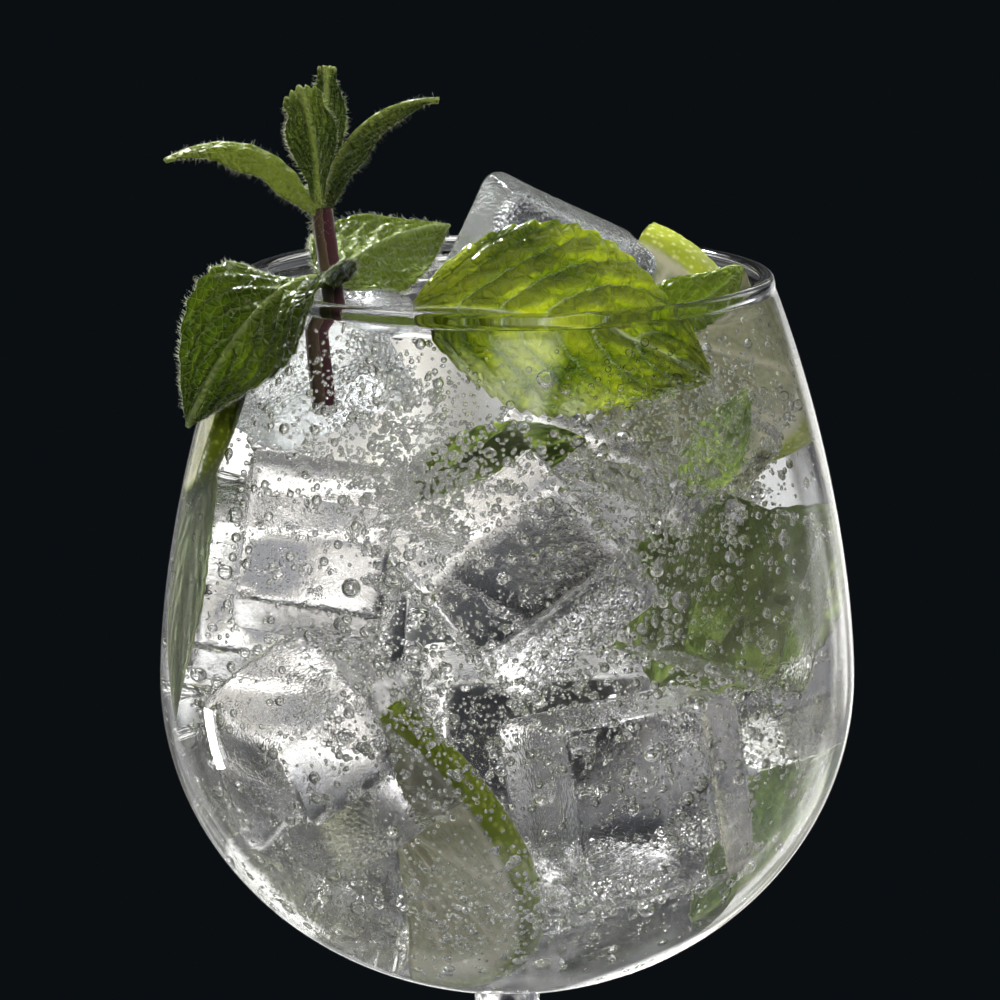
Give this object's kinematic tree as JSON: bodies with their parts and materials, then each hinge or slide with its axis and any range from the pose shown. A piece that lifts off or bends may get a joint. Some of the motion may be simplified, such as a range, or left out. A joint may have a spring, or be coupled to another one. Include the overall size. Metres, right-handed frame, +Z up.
{
  "type": "iced gin fizz in a stemmed balloon glass",
  "caption": "Stemmed balloon glass filled with a clear iced gin fizz, garnished with a mint sprig, loose mint leaves and a half slice of lime.",
  "frame": {"origin": "on the axis of the glass, on the surface that its foot stands on", "axes": "+Z up along the axis of the glass; -Y towards the viewer of the picture; +X to the viewer's right"},
  "size_m": [0.106, 0.106, 0.2248],
  "materials": {
    "glass": "clear smooth blown glass",
    "drink": "clear colourless fizzy drink full of small bubbles",
    "ice": "clear ice with wet rounded edges and small trapped bubbles",
    "lime": "wet lime: glossy dimpled green zest, pale pith and pale green pulp",
    "mint": "fresh mint leaf, net-veined, quilted between the veins, slightly glossy, on a purple-brown stem"
  },
  "bodies": {
    "root": {"glass": "glass", "drink": "drink", "ice_cube_top": "ice", "ice_cube_side": "ice", "lime_half_slice": "lime", "mint_sprig": "mint", "mint_leaf_front": "mint", "mint_leaf_right": "mint"}
  },
  "joints": []
}
